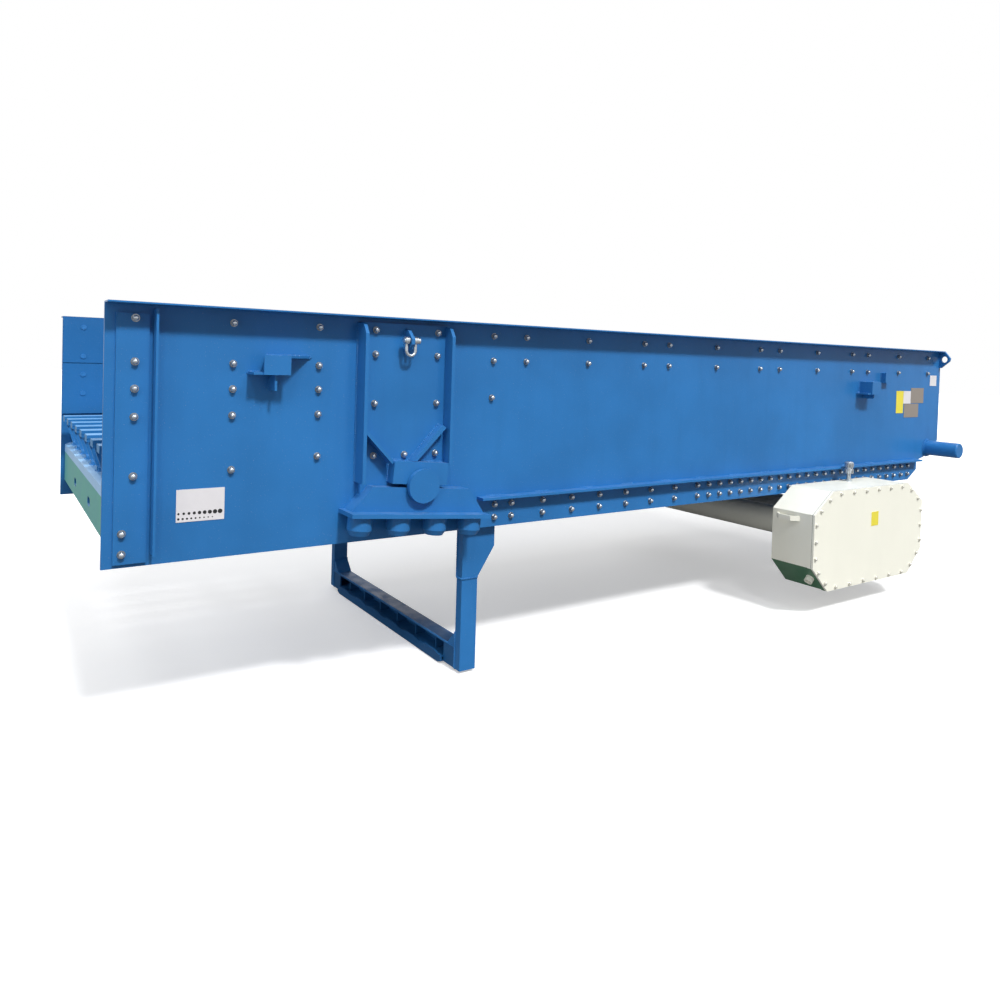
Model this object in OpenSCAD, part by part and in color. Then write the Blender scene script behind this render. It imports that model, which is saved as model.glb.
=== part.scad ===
// Linear vibratory feeder: a bolted trough with a feed pan and a grizzly deck,
// hung on four spring seats and driven by a two-shaft exciter under the feed end.
// Side plates lie along X (discharge end at low X, feed end at high X), the near side is -Y.

/* [Trough] */
// Length of the side plates
trough_len = 6000; // [5700:10:6600]
// Clear width between the side plates
clear_w = 1750; // [1500:10:2100]
// Height of the side plates
side_h = 1000; // [960:5:1100]
// Thickness of the side plates
side_t = 14; // [10:1:20]
// Width of the folded top flange
flange_w = 90; // [60:1:120]
// Thickness of the top flange
flange_t = 6; // [5:1:14]
// Height of the row of bolts in the bottom band above the plate's lower edge
band_h = 143; // [130:1:160]
// Reach of the lower stiffener
stiffener_w = 58; // [30:1:90]
// Thickness of the lower stiffener
stiffener_t = 12; // [8:1:16]

/* [Liners and deck] */
// Thickness of the wear liners
liner_t = 10; // [6:1:16]
// Height of the feed pan's top face
pan_z = 680; // [640:1:720]
// Thickness of the feed pan
pan_t = 20; // [12:1:30]
// Where the feed pan ends and the bars begin
pan_x = 1650; // [1600:1:1700]
// Height of the bars' top faces
bar_z = 452; // [430:1:480]
// Height of a bar from its foot to its top face
bar_h = 142; // [120:1:144]
// Distance between the middles of two bars
bar_pitch = 212; // [190:1:230]
// Number of bars
bar_count = 8; // [4:1:8]
// Width of a bar's top at the discharge end
bar_tip_w = 86; // [60:1:110]
// Width of a bar's top at the feed end
bar_root_w = 112; // [80:1:130]

/* [Suspension] */
// Distance of the front cross tube from the discharge end
front_tube_x = 1290; // [1250:1:1330]
// Height of the front cross tube
front_tube_z = 247; // [230:1:255]
// Distance of the rear cross tube from the feed end
rear_tube_in = 157; // [150:1:170]
// Height of the rear cross tube
rear_tube_z = 238; // [225:1:260]
// Outer radius of the cross tubes
tube_r = 57; // [48:1:62]
// Wall of the cross tubes
tube_wall = 12; // [8:1:16]
// Reach of the rear cross tube past the side plates
rear_tube_reach = 250; // [150:1:300]
// Slope at which the feeder is hung, so that the spring seats are level
seat_tilt = 5; // [0:0.5:8]
// Length of a spring seat plate
seat_len = 700; // [660:1:760]
// Reach of a spring seat plate
seat_reach = 155; // [140:1:190]
// Radius of a spring locator
locator_r = 55; // [40:1:60]
// Length of a spring locator
locator_h = 84; // [60:1:110]
// Distance between two spring locators
locator_pitch = 186; // [150:1:200]

/* [Side fittings] */
// Thickness of the bracket panel
panel_t = 25; // [16:1:32]
// Reach of the bracket ribs
rib_reach = 90; // [88:1:120]
// Radius of the hole in the rear lifting lugs
lug_hole_r = 25; // [20:1:28]
// Thickness of the rear lifting lugs
lug_t = 20; // [16:1:30]
// Thickness of the front lifting eyes
eye_t = 16; // [12:1:22]
// Radius of the pin in the shackles
shackle_pin_r = 12; // [10:1:13]

/* [Exciter] */
// Distance of the exciter's middle from the feed end
exciter_in = 1476; // [1400:1:1500]
// Height of the middle of the exciter case
case_z = -252; // [-260:1:-248]
// Half of the width of the exciter case
case_half_w = 627; // [600:1:660]
// Half of the height of the exciter case
case_half_h = 315; // [310:1:330]
// Depth of the exciter case from its back to the face of its cover
case_depth = 305; // [280:1:330]
// Gap between the exciter case and the near side plate
case_gap = 35; // [28:1:45]
// Wall of the exciter case
case_wall = 16; // [12:1:20]
// Thickness of the cover
cover_t = 14; // [10:1:18]
// Radius of the shaft tubes
shaft_tube_r = 95; // [90:1:110]
// Height of the shafts
shaft_z = -235; // [-240:1:-230]
// Number of teeth on each timing gear
gear_teeth = 47; // [45:1:47]
// Module of the timing gears
gear_module = 10; // [9.8:0.1:10]
// Width of the timing gears
gear_w = 90; // [60:1:110]
// Radius of the shafts in their bearings
journal_r = 50; // [45:1:52]
// Radius of the drive end of the driven shaft
drive_end_r = 35; // [30:1:40]
// Length of the drive end
drive_end_len = 126; // [110:1:150]

/* [Fasteners] */
// Radius of the trough bolts
bolt_r = 8; // [7:1:9]
// Radius of the exciter cover bolts
cover_bolt_r = 6; // [5:1:7]

/* [Hidden] */
$fn = 32;

blue = [0.10, 0.36, 0.66];
cream = [0.93, 0.93, 0.87];
zinc = [0.78, 0.80, 0.82];
steel = [0.62, 0.63, 0.65];

inner_y = clear_w / 2;
outer_y = inner_y + side_t;
rear_tube_x = trough_len - rear_tube_in;
exciter_x = trough_len - exciter_in;
fit = 0.05;

// ---- frame of the part: middle of the slotted holes in the discharge beam's front face
beam_x = 20;
slot_z = 155;
slot_pitch = 580;
slot_len = 90;
slot_r = 20;

// ---- discharge beam and deck beams
bar_foot_z = bar_z - bar_h;
beam_wall = 16;
beam_back_x = 230;
beam_low_z = 85;
beam_top_z = bar_foot_z - 18;
beam_edge_z = beam_top_z - 9;
beam_nose = 22;
deck_beam_w = 100;
deck_beam_h = 138;
deck_beam_wall = 10;
mid_beam_x = 860;
rear_beam_x = pan_x - 90;

// ---- bars
bar_nose_x = 2;
bar_cut = 32;
bar_flange_t = 16;
bar_nose_h = 30;
bar_foot_w = 60;
bar_foot_t = 12;
bar_web_t = 14;
foot_front_x = 46;
foot_block_l = 30;
foot_block_w = 34;
foot_block_h = 22;

// ---- liners
liner_gap = 6;
liner_first = 958;
liner_low_z = bar_z + 4;
liner_split_z = 738;
liner_top_z = side_h - 15;
liner_second = 1816;
rear_wall_t = 16;
liner_pitch = (trough_len - rear_wall_t - 96 - liner_second) / 4;
liner_joints = [0, liner_first, for (k = [0:3]) liner_second + k * liner_pitch,
    trough_len - rear_wall_t];

// ---- pan and its webs
web_t = 16;
web_low_z = 160;
web_count = 7;
web_first = pan_x + 90;
web_pitch = (trough_len - 440 - web_first) / (web_count - 1);
web_places = [for (i = [0:web_count - 1]) web_first + i * web_pitch];

// ---- bottom band and its bolts
band_x = 1645;
band_end_x = trough_len - 320;
band_rows = [47, 110];
band_front_x = [1748, 1849];
band_wide_first = 2046;
band_close_first = trough_len - 2690;
band_close_pitch = 98;
band_wide_pitch = (band_close_first - 100 - band_wide_first) / 6;
band_wide_x = [for (k = [0:6]) band_wide_first + k * band_wide_pitch];
band_close_x = [for (k = [0:22]) band_close_first + k * band_close_pitch];
band_last_x = trough_len - 440;

// ---- bolts in the side plates, as [x, z]
top_row_z = side_h - 58;
second_row_z = side_h - 178;
rear_row_x = [for (k = [0:3]) for (d = [-99, 99, liner_pitch / 2 - 1])
    liner_second + k * liner_pitch + d];
last_row_x = trough_len - 200;
front_bolts_x = [466, 825];
liner_bolts_z = [side_h - 429, side_h - 323, side_h - 221];
doubler_x = 103;
doubler_bolts = [for (z = concat([bar_z - 105], liner_bolts_z, [top_row_z])) [doubler_x, z]];
corner_bolts = [for (z = [54, 132]) [67, z]];
top_bolts = concat([for (x = front_bolts_x) [x, top_row_z]],
    [for (x = rear_row_x) [x, top_row_z]], [[last_row_x, top_row_z]]);
liner_bolts = concat([for (x = front_bolts_x) for (z = liner_bolts_z) [x, z]],
    [[466, bar_z - 101], [825, bar_z - 61], [pan_x + 62, pan_z - pan_t - 20]],
    [for (x = rear_row_x) [x, second_row_z]], [[last_row_x, second_row_z]]);
low_panel_z = front_tube_z + 137;
panel_bolts = concat([for (x = [-215, 98]) for (z = [low_panel_z, side_h - 383, side_h - 164,
    top_row_z]) [front_tube_x + x, z]], [[front_tube_x - 62, low_panel_z]]);
band_light_bolts = [for (x = concat(band_front_x, band_wide_x)) for (z = band_rows) [x, z]];
band_heavy_bolts = [for (x = concat(band_close_x, [band_last_x])) for (z = band_rows) [x, z]];
hole_play = 1;

// ---- bracket
panel_x0 = front_tube_x - 274;
panel_x1 = front_tube_x + 141;
panel_low_z = front_tube_z - 87;
panel_top_z = side_h - 25;
rib_t = 16;
split_gap = 7;
block_left = 145;
block_right = 131;
block_h = 105;
box_top = -13;
box_low = -122;
box_half_top = 248;
box_half_low = 338;
box_shift = 12;
box_wall = 12;
box_reach = 88;
seat_t = 18;
cap_r = 77;
cap_t = 24;
cap_gap = 8;
rear_cap_t = 12;
rear_cap_edge = 5;

// ---- U-frame under the deck
post_x = 1600;
post_w = 90;
post_t = 50;
post_in = 45;
post_low_z = -718;
post_top_z = -258;
corner = 76;
u_beam_h = 108;
lip_x = 18;

// ---- exciter
hanger_t = 25;
cover_face_y = -(outer_y + case_gap + case_depth);
case_back_y = -(outer_y + case_gap);
gasket_t = 2;
case_front_y = cover_face_y + cover_t + gasket_t;
case_flare = 3;
case_rim = 40;
case_rim_t = 24;
case_back_t = 24;
cover_bolt_inset = 20;
gear_pitch_r = gear_module * gear_teeth / 2;
drive_x = exciter_x + gear_pitch_r;
idler_x = exciter_x - gear_pitch_r;
gear_back_gap = 22;
gear_back_y = case_back_y - case_back_t - gear_back_gap;
gear_seat_r = 45;
shaft_tube_wall = 8;
bearing_w = 50;
bearing_r = shaft_tube_r - shaft_tube_wall;
end_box_y = outer_y + 21;
end_box_t = 80;
end_cap_t = 14;
ecc_offset = 18;
ecc_r = bearing_r - ecc_offset - 7;
ecc_half = inner_y - 55;

// ================= helpers =================

// An outline in X and Z, extruded along Y from y0
module wall(y0, t) {
    translate([0, y0 + t, 0])
        rotate([90, 0, 0])
            linear_extrude(t)
                children();
}

// An outline in Y and Z, extruded along X from x0
module slab(x0, t) {
    translate([x0, 0, 0])
        rotate([90, 0, 90])
            linear_extrude(t)
                children();
}

// A cylinder along Y from y0
module rod(x, z, r, y0, len) {
    translate([x, y0 + len, z])
        rotate([90, 0, 0])
            cylinder(r = r, h = len);
}

// The same thing on both sides
module both_sides() {
    children();
    mirror([0, 1, 0]) children();
}

module holes(places, r) {
    for (p = places) {
        translate(p) circle(r);
    }
}

// Places the part's own frame
module in_frame() {
    translate([-beam_x, 0, -slot_z]) children();
}

// The frame of a spring bracket: origin on the front tube, level when the feeder is hung
module seat_frame() {
    translate([front_tube_x, 0, front_tube_z])
        rotate([0, seat_tilt, 0])
            children();
}

// ================= trough =================

all_side_bolts = concat(doubler_bolts, corner_bolts, top_bolts, liner_bolts, panel_bolts,
    band_light_bolts, band_heavy_bolts);

module side_outline() {
    polygon([[0, 0], [band_last_x + 20, 0], [trough_len - 300, 75], [trough_len - 300, band_h],
        [rear_tube_x - 31, rear_tube_z - 68], [rear_tube_x + 29, rear_tube_z - 58],
        [trough_len, rear_tube_z + 55], [trough_len, side_h], [0, side_h]]);
}

flange_end_x = trough_len - lug_t;

module side_plate() {
    difference() {
        union() {
            wall(-outer_y, side_t) side_outline();
            translate([0, -outer_y, side_h - flange_t])
                linear_extrude(flange_t)
                    polygon([[0, side_t], [0, -flange_w], [flange_end_x - 90, -flange_w],
                        [flange_end_x, -40], [flange_end_x, side_t]]);
        }
        wall(-outer_y - 1, side_t + 2) holes(all_side_bolts, bolt_r + hole_play);
        rod(front_tube_x, front_tube_z, tube_r, -outer_y - 1, side_t + 2);
        rod(rear_tube_x, rear_tube_z, tube_r, -outer_y - 1, side_t + 2);
    }
}

module side_plate_near() {
    color(blue) side_plate();
}

module side_plate_far() {
    color(blue) mirror([0, 1, 0]) side_plate();
}

module lower_stiffeners() {
    color(blue) both_sides()
        translate([band_x, -outer_y - stiffener_w, band_h])
            cube([band_end_x - band_x, stiffener_w, stiffener_t]);
}

doubler_t = 12;

module end_doublers() {
    color(blue) both_sides()
        difference() {
            wall(-outer_y - doubler_t, doubler_t) translate([38, 15]) square([115, side_h - 55]);
            wall(-outer_y - doubler_t - 1, doubler_t + 2)
                holes(concat(doubler_bolts, corner_bolts), bolt_r + hole_play);
        }
}

end_rib_reach = 60;

module end_ribs() {
    color(blue) both_sides()
        translate([168, -outer_y - end_rib_reach, 46])
            cube([9, end_rib_reach, side_h - side_t - 52]);
}

// ================= liners, pan and deck =================

module liner(x0, x1, z0, z1) {
    difference() {
        wall(-inner_y, liner_t) translate([x0, z0]) square([x1 - x0, z1 - z0]);
        wall(-inner_y - 1, liner_t + 2)
            holes([for (p = all_side_bolts)
                if (p[0] > x0 && p[0] < x1 && p[1] > z0 && p[1] < z1) p], bolt_r + hole_play);
    }
}

module upper_liners() {
    color(steel) both_sides()
        for (i = [0:len(liner_joints) - 2]) {
            x0 = liner_joints[i] + liner_gap / 2;
            x1 = liner_joints[i + 1] - liner_gap / 2;
            liner(x0, x1, i < 2 ? liner_split_z + 4 : pan_z + 4, liner_top_z);
        }
}

module lower_liners() {
    color(steel) both_sides() {
        liner(liner_gap / 2, liner_first - liner_gap / 2, liner_low_z, liner_split_z);
        liner(liner_first + liner_gap / 2, pan_x - web_t, liner_low_z, liner_split_z);
    }
}

module rear_wall() {
    color(blue)
        translate([trough_len - rear_wall_t, -inner_y, pan_z - pan_t])
            cube([rear_wall_t, clear_w, liner_top_z - pan_z + pan_t]);
}

module feed_pan() {
    color(steel)
        translate([pan_x, -inner_y, pan_z - pan_t])
            cube([trough_len - rear_wall_t - pan_x, clear_w, pan_t]);
}

module pan_webs() {
    color(blue)
        for (x = web_places) {
            translate([x, -inner_y, web_low_z])
                cube([web_t, clear_w, pan_z - pan_t - web_low_z]);
        }
}

module pan_step() {
    color(blue)
        translate([pan_x - web_t, -inner_y, bar_z])
            cube([web_t, clear_w, pan_z - bar_z]);
}

module beam_profile(d) {
    polygon([[beam_x + d, beam_low_z + d], [beam_x + d, beam_edge_z - d * 0.67],
        [beam_x + beam_nose + d * 0.2, beam_top_z - d], [beam_back_x - d, beam_top_z - d],
        [beam_back_x - d, beam_low_z + d]]);
}

module discharge_beam() {
    color(blue)
        difference() {
            wall(-inner_y, clear_w) beam_profile(0);
            wall(-inner_y - 1, clear_w + 2) beam_profile(beam_wall);
            for (side = [-1, 1]) {
                slab(beam_x - 1, beam_wall + 2)
                    translate([side * slot_pitch / 2, slot_z]) {
                        square([slot_len - 2 * slot_r, 2 * slot_r], center = true);
                        for (end = [-1, 1]) {
                            translate([end * (slot_len / 2 - slot_r), 0]) circle(slot_r);
                        }
                    }
            }
        }
}

module deck_beams() {
    color(blue)
        for (x = [mid_beam_x, rear_beam_x]) {
            difference() {
                translate([x, -inner_y, bar_foot_z - deck_beam_h])
                    cube([deck_beam_w, clear_w, deck_beam_h]);
                translate([x + deck_beam_wall, -inner_y - 1,
                        bar_foot_z - deck_beam_h + deck_beam_wall])
                    cube([deck_beam_w - 2 * deck_beam_wall, clear_w + 2,
                        deck_beam_h - 2 * deck_beam_wall]);
            }
        }
}

module grizzly_bar() {
    bar_end_x = pan_x - web_t - 4;
    web_x = bar_nose_x + bar_cut;
    translate([0, 0, bar_z - bar_flange_t])
        linear_extrude(bar_flange_t)
            polygon([[bar_nose_x, -bar_tip_w / 2], [bar_end_x, -bar_root_w / 2],
                [bar_end_x, bar_root_w / 2], [bar_nose_x, bar_tip_w / 2]]);
    wall(-bar_tip_w / 2 + 2, bar_tip_w - 4)
        polygon([[bar_nose_x, bar_z - 1], [bar_nose_x, bar_z - bar_nose_h],
            [bar_nose_x + 10, bar_z - bar_nose_h - 2], [web_x, bar_z - bar_flange_t],
            [web_x, bar_z - 1]]);
    wall(-bar_web_t / 2, bar_web_t)
        polygon([[bar_nose_x + 5, bar_z - bar_flange_t], [foot_front_x, bar_foot_z],
            [bar_end_x, bar_foot_z], [bar_end_x, bar_z - bar_flange_t]]);
    translate([beam_back_x - 20, -bar_foot_w / 2, bar_foot_z])
        cube([bar_end_x - beam_back_x + 20, bar_foot_w, bar_foot_t]);
    translate([foot_front_x + 4, -bar_foot_w / 2, beam_top_z])
        cube([beam_back_x - foot_front_x - 14, bar_foot_w, bar_foot_z - beam_top_z]);
    translate([foot_front_x, -foot_block_w / 2, beam_top_z])
        cube([foot_block_l, foot_block_w, foot_block_h]);
}

module grizzly_bars() {
    color(steel)
        for (i = [0:bar_count - 1]) {
            translate([0, (i - (bar_count - 1) / 2) * bar_pitch, 0]) grizzly_bar();
        }
}

// ================= spring brackets =================

module bracket_panel() {
    difference() {
        wall(-outer_y - panel_t, panel_t)
            translate([panel_x0, panel_low_z])
                square([panel_x1 - panel_x0, panel_top_z - panel_low_z]);
        wall(-outer_y - panel_t - 1, panel_t + 2) holes(panel_bolts, bolt_r + hole_play);
        rod(front_tube_x, front_tube_z, tube_r, -outer_y - panel_t - 1, panel_t + 2);
    }
}

module bracket_panel_near() {
    color(blue) bracket_panel();
}

module bracket_panel_far() {
    color(blue) mirror([0, 1, 0]) bracket_panel();
}

module bracket_rib(x, z_low) {
    rib_top = side_h - 30;
    slab(x, rib_t)
        polygon([[-outer_y, z_low], [-outer_y, rib_top], [-outer_y - rib_reach + 30, rib_top],
            [-outer_y - rib_reach, rib_top - 45], [-outer_y - rib_reach, z_low]]);
}

module bracket_ribs() {
    color(blue) both_sides() {
        bracket_rib(panel_x0 - rib_t, front_tube_z + 22);
        bracket_rib(panel_x1, front_tube_z + 82);
    }
}

module bracket_gussets() {
    color(blue) both_sides() {
        wall(-outer_y - panel_t - 60, 60)
            polygon([[panel_x0, front_tube_z + 239], [panel_x0, front_tube_z + 260],
                [front_tube_x - 145, front_tube_z + 123], [front_tube_x - 145, front_tube_z + 102]]);
        wall(-outer_y - panel_t - 48, 48)
            polygon([[front_tube_x - 38, front_tube_z + 110], [front_tube_x - 16, front_tube_z + 109],
                [front_tube_x + 131, front_tube_z + 257], [front_tube_x + 112, front_tube_z + 270]]);
    }
}

module tube_bore() {
    rod(0, 0, tube_r, -outer_y - 2 * rib_reach, 4 * rib_reach);
}

module trunnion_block() {
    seat_frame()
        difference() {
            wall(-outer_y - box_reach, box_reach - panel_t)
                union() {
                    translate([-block_left + 14, split_gap / 2])
                        square([block_left + block_right - 14, block_h - split_gap / 2]);
                    translate([-block_left, split_gap / 2])
                        square([14, block_h - split_gap / 2 - 14]);
                    translate([-block_left + 14, block_h - 14]) circle(14);
                }
            tube_bore();
        }
}

module trunnion_block_near() {
    color(blue) trunnion_block();
}

module trunnion_block_far() {
    color(blue) mirror([0, 1, 0]) trunnion_block();
}

module box_profile(d) {
    polygon([[box_shift - box_half_low + 1.4 * d, box_low],
        [box_shift - box_half_top + 0.6 * d, box_top - d],
        [box_shift + box_half_top - 0.6 * d, box_top - d],
        [box_shift + box_half_low - 1.4 * d, box_low]]);
}

// The panel's room, which the box keeps clear of
module panel_room() {
    translate([panel_x0, -outer_y - panel_t, panel_low_z])
        cube([panel_x1 - panel_x0, panel_t + 1, panel_top_z - panel_low_z]);
}

module spring_box() {
    difference() {
        seat_frame()
            difference() {
                union() {
                    difference() {
                        wall(-outer_y - box_reach, box_reach) box_profile(0);
                        wall(-outer_y - box_reach + box_wall, box_reach + 1)
                            box_profile(box_wall);
                    }
                    intersection() {
                        rod(0, 0, tube_r + 20, -outer_y - box_reach, box_reach);
                        wall(-outer_y - box_reach, box_reach) box_profile(0);
                    }
                }
                tube_bore();
            }
        panel_room();
    }
}

module spring_box_near() {
    color(blue) spring_box();
}

module spring_box_far() {
    color(blue) mirror([0, 1, 0]) spring_box();
}

module seat_plate() {
    seat_frame()
        translate([-seat_len / 2, -outer_y - seat_reach, box_low - seat_t])
            cube([seat_len, seat_reach, seat_t]);
}

module seat_plate_near() {
    color(blue) seat_plate();
}

module seat_plate_far() {
    color(blue) mirror([0, 1, 0]) seat_plate();
}

locator_y = outer_y + 80;
locator_tip = 24;

module spring_locators() {
    color(blue) both_sides() seat_frame()
        for (i = [-1.5, -0.5, 0.5, 1.5]) {
            translate([i * locator_pitch, -locator_y, box_low - seat_t])
                rotate([180, 0, 0])
                    rotate_extrude()
                        polygon([[0, 0], [locator_r, 0], [locator_r, locator_h - locator_tip],
                            [locator_r - 14, locator_h], [0, locator_h]]);
        }
}

module cross_tube(x, z, half_len) {
    difference() {
        rod(x, z, tube_r, -half_len, 2 * half_len);
        rod(x, z, tube_r - tube_wall, -half_len - 1, 2 * half_len + 2);
    }
}

front_tube_half = outer_y + box_reach + cap_gap;
rear_tube_half = outer_y + rear_tube_reach - rear_cap_t;

module front_cross_tube() {
    color(blue) cross_tube(front_tube_x, front_tube_z, front_tube_half);
}

module rear_cross_tube() {
    color(blue) cross_tube(rear_tube_x, rear_tube_z, rear_tube_half);
}

module tube_end_caps() {
    color(blue) both_sides() {
        rod(front_tube_x, front_tube_z, cap_r, -front_tube_half - cap_t, cap_t);
        translate([rear_tube_x, -rear_tube_half, rear_tube_z])
            rotate([90, 0, 0])
                rotate_extrude()
                    polygon([[0, 0], [tube_r, 0], [tube_r, rear_cap_t - rear_cap_edge],
                        [tube_r - rear_cap_edge, rear_cap_t], [0, rear_cap_t]]);
    }
}

collar_t = 12;

module tube_collars() {
    color(blue) both_sides()
        difference() {
            rod(rear_tube_x, rear_tube_z, tube_r + 9, -outer_y - collar_t, collar_t);
            rod(rear_tube_x, rear_tube_z, tube_r, -outer_y - collar_t - 1, collar_t + 2);
        }
}

// ================= lifting points and side brackets =================

eye_x = front_tube_x - 65;
eye_y = -outer_y - 73;
eye_z = side_h - 100;
eye_hole_r = shackle_pin_r + 2;
shackle_bar_r = 8;
shackle_half = 22;
shackle_len = 45;
shackle_eye_t = 18;

module lifting_eyes() {
    color(blue) both_sides()
        difference() {
            slab(eye_x - eye_t / 2, eye_t)
                polygon([[-outer_y - panel_t, eye_z - 60], [-outer_y - panel_t, eye_z + 50],
                    [-outer_y - panel_t - 34, eye_z + 46], [eye_y - 27, eye_z + 8],
                    [eye_y - 27, eye_z - 16]]);
            translate([eye_x - eye_t, eye_y, eye_z])
                rotate([0, 90, 0])
                    cylinder(r = eye_hole_r, h = 2 * eye_t);
        }
}

module shackle() {
    translate([eye_x, eye_y, eye_z]) {
        for (side = [-1, 1]) {
            translate([side * shackle_half - shackle_eye_t / 2, 0, 0])
                rotate([0, 90, 0])
                    cylinder(r = shackle_pin_r + 6, h = shackle_eye_t);
            translate([side * shackle_half, 0, -shackle_len])
                cylinder(r = shackle_bar_r, h = shackle_len);
        }
        translate([0, 0, -shackle_len])
            rotate([-90, 0, 0])
                rotate_extrude(angle = 180)
                    translate([shackle_half, 0]) circle(shackle_bar_r);
        translate([-shackle_half - 14, 0, 0])
            rotate([0, 90, 0])
                cylinder(r = shackle_pin_r, h = 2 * shackle_half + 20);
        translate([shackle_half + shackle_eye_t / 2, 0, 0])
            rotate([0, 90, 0])
                cylinder(r = shackle_pin_r + 3, h = 12);
    }
}

module shackle_near() {
    color(zinc) shackle();
}

module shackle_far() {
    color(zinc) mirror([0, 1, 0]) shackle();
}

lug_hole_z = side_h - 62;
lug_hole_y = -outer_y - 38;

module rear_lugs() {
    color(blue) both_sides()
        difference() {
            slab(trough_len - lug_t, lug_t)
                polygon([[-outer_y, side_h - 130], [-outer_y - 14, side_h - 130],
                    [-outer_y - 78, side_h - 75], [-outer_y - 82, side_h - 52],
                    [-outer_y - 40, side_h], [-outer_y, side_h]]);
            translate([trough_len - 2 * lug_t, lug_hole_y, lug_hole_z])
                rotate([0, 90, 0])
                    cylinder(r = lug_hole_r, h = 3 * lug_t);
        }
}

bracket_reach = 100;
bracket_t = 10;
bracket_w = 109;
front_bracket_x = 562;
front_bracket_top = side_h - 183;
front_bracket_h = 79;
rear_bracket_x = trough_len - 1120;
rear_bracket_top = side_h - 249;
rear_bracket_h = 90;
tab_x = trough_len - 850;
tab_top = side_h - 183;
tab_w = 80;
tab_reach = 40;
tab_h = 72;

// An angle with a fin below it, closed on its discharge side where wanted
module side_bracket(x, top_z, h, closed) {
    fin_h = closed ? 30 : 65;
    fin_in = 20;
    tail = 38;
    top_len = 225;
    top_in = closed ? 0 : 36;
    translate([x, -outer_y, top_z - h]) {
        translate([0, 0, h - bracket_t])
            linear_extrude(bracket_t)
                polygon([[top_in, 0], [0, -bracket_reach], [bracket_w, -bracket_reach],
                    [top_len, 0]]);
        translate([0, -bracket_reach, 0])
            cube([bracket_w, bracket_t, h - bracket_t]);
        translate([-tail, -bracket_reach + bracket_t, 0])
            cube([bracket_w + tail, bracket_reach - bracket_t, bracket_t]);
        slab(bracket_w / 2 - bracket_t / 2, bracket_t)
            polygon([[0, 0], [0, -fin_h], [-bracket_reach + fin_in, -fin_h],
                [-bracket_reach + fin_in, 0]]);
        if (closed) {
            translate([0, -bracket_reach + bracket_t, bracket_t])
                cube([bracket_t, bracket_reach - bracket_t, h - 2 * bracket_t]);
        }
    }
}

module side_brackets() {
    color(blue) both_sides() {
        side_bracket(front_bracket_x, front_bracket_top, front_bracket_h, false);
        side_bracket(rear_bracket_x, rear_bracket_top, rear_bracket_h, true);
        translate([tab_x, -outer_y - tab_reach, tab_top - tab_h]) cube([tab_w, tab_reach, tab_h]);
    }
}

// ================= U-frame =================

post_outer_y = outer_y - post_in;
post_inner_y = post_outer_y - post_t;

post_head_x = post_x + post_w + 95;
post_head_z = -8;

module frame_posts() {
    color(blue) both_sides()
        translate([post_x, -post_outer_y, post_low_z])
            cube([post_w, post_t, post_top_z - post_low_z]);
}

module frame_gussets() {
    head_z = bar_foot_z - deck_beam_h;
    color(blue) both_sides() {
        wall(-post_outer_y, post_t)
            polygon([[post_x, post_top_z], [post_x + post_w, post_top_z],
                [post_head_x, post_head_z - 102], [post_head_x, post_head_z],
                [post_head_x - 85, head_z - 60], [post_head_x - 95, head_z], [post_x, head_z]]);
        slab(post_x, post_w)
            polygon([[-post_inner_y, post_low_z + u_beam_h],
                [-post_inner_y + corner, post_low_z + u_beam_h],
                [-post_inner_y, post_low_z + u_beam_h + corner]]);
    }
}

module frame_beam() {
    web_x = post_x + post_w - 12;
    shelf_z = post_low_z + 30;
    bays = 7;
    bay = 2 * post_inner_y / bays;
    lip_half = post_inner_y - 110;
    color(blue) {
        difference() {
            union() {
                slab(web_x, 12)
                    translate([-post_inner_y, post_low_z]) square([2 * post_inner_y, u_beam_h]);
                slab(post_x, post_w - 12)
                    translate([-post_inner_y, post_low_z + u_beam_h - 10])
                        square([2 * post_inner_y, 10]);
                slab(post_x, post_w - 12)
                    translate([-post_inner_y, shelf_z - 8]) square([2 * post_inner_y, 8]);
                slab(post_x - lip_x, 10)
                    polygon([[-lip_half, post_low_z], [-lip_half + 30, post_low_z - 10],
                        [lip_half - 30, post_low_z - 10], [lip_half, post_low_z],
                        [lip_half, shelf_z + 10], [-lip_half, shelf_z + 10]]);
                translate([post_x - lip_x + 10, -lip_half, post_low_z])
                    cube([lip_x - 10 + post_w - 12, 2 * lip_half, 8]);
                translate([post_x - lip_x + 10, -lip_half, shelf_z - 8])
                    cube([lip_x - 10, 2 * lip_half, 8]);
                for (y = [-post_inner_y, lip_half]) {
                    slab(post_x, 10)
                        translate([y, post_low_z])
                            square([post_inner_y - lip_half, u_beam_h - 10]);
                }
                for (i = [1:bays - 1]) {
                    slab(post_x + 20, post_w - 32)
                        translate([-post_inner_y + i * bay - 5, shelf_z])
                            square([10, u_beam_h - 40]);
                }
            }
            for (i = [0:bays - 1]) {
                translate([post_x - lip_x - 1, -post_inner_y + (i + 0.5) * bay,
                        shelf_z + bay * 0.9])
                    rotate([0, 90, 0])
                        cylinder(r = bay * 0.9, h = 11.5, $fn = 96);
            }
        }
    }
}

// ================= exciter =================

// The case outline: an eight-sided plate, drawn in by d all round
top_cut = [190, 135];
low_cut = [160, 160];

function cut_in(c, d) = let (slope = norm(c)) [
    c[0] - d * (1 + (c[0] - slope) / c[1]),
    c[1] - d * (1 + (c[1] - slope) / c[0])];

function octagon(d) = let (w = case_half_w - d, h = case_half_h - d,
    t = cut_in(top_cut, d), b = cut_in(low_cut, d)) [
    [-w, -h + b[1]], [-w, h - t[1]], [-w + t[0], h], [w - t[0], h],
    [w, h - t[1]], [w, -h + b[1]], [w - b[0], -h], [-w + b[0], -h]];

module case_outline(d) {
    translate([exciter_x, case_z]) polygon(octagon(d));
}

// Bolts along the edges of the outline, so many on each of its eight edges
edge_bolts = [3, 2, 6, 2, 3, 2, 6, 2];

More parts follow.
